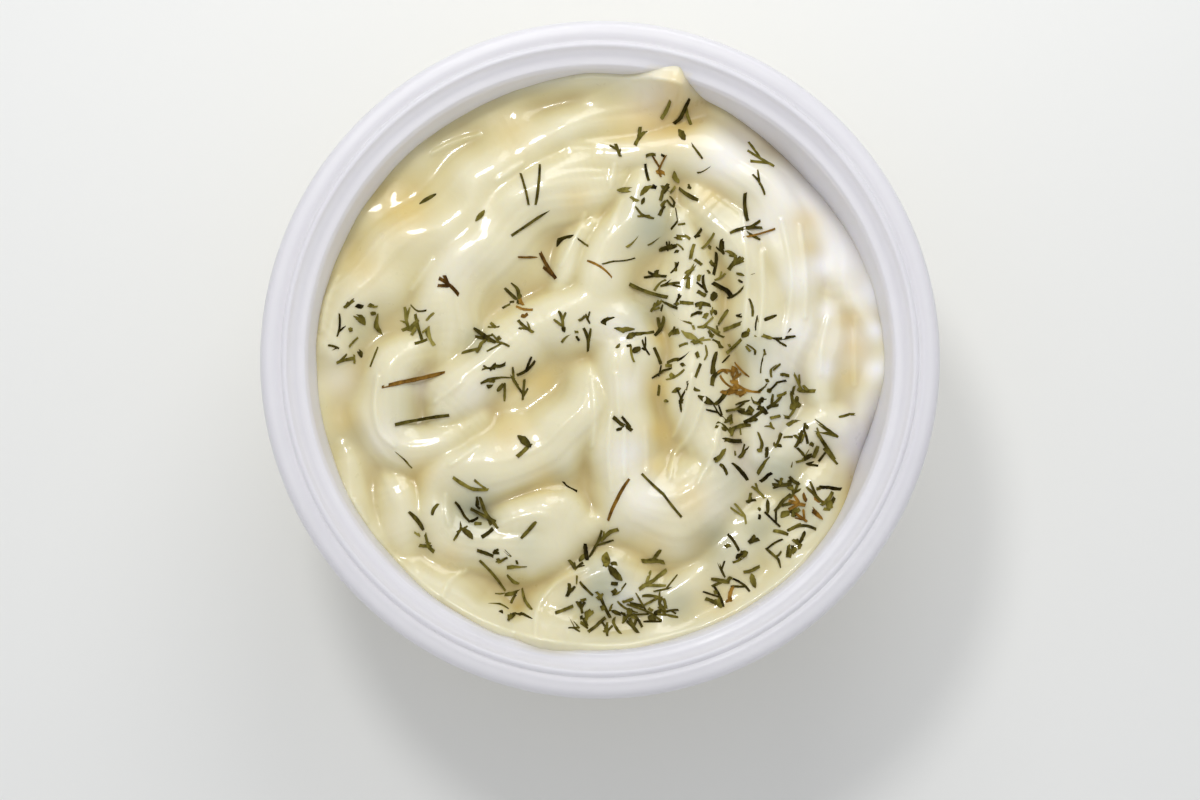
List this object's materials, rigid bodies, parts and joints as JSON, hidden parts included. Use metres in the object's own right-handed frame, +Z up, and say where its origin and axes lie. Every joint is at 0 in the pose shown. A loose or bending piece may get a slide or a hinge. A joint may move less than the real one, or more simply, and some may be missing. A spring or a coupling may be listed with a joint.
{
  "type": "dish of garlic dip",
  "caption": "Round tapered portion tub of milky translucent plastic, open, filled with glossy cream garlic dip in spooned folds and sprinkled with dried dill.",
  "frame": {"origin": "centre of the tub's underside, on the surface that it stands on", "axes": "+Z up along the tub's axis; +Y towards the top of the picture and +X towards its right"},
  "size_m": [0.075, 0.075, 0.038],
  "materials": {
    "tub_plastic": "milky translucent natural polypropylene with a soft sheen",
    "garlic_cream": "glossy wet cream dip, pale on the crests and yellow in the creases",
    "dried_dill": "dull dark olive green dried leaf",
    "brown_dill": "dull brown to amber dried leaf and stalk"
  },
  "bodies": {
    "root": {"tub": "tub_plastic", "garlic_dip": "garlic_cream"}
  },
  "joints": []
}
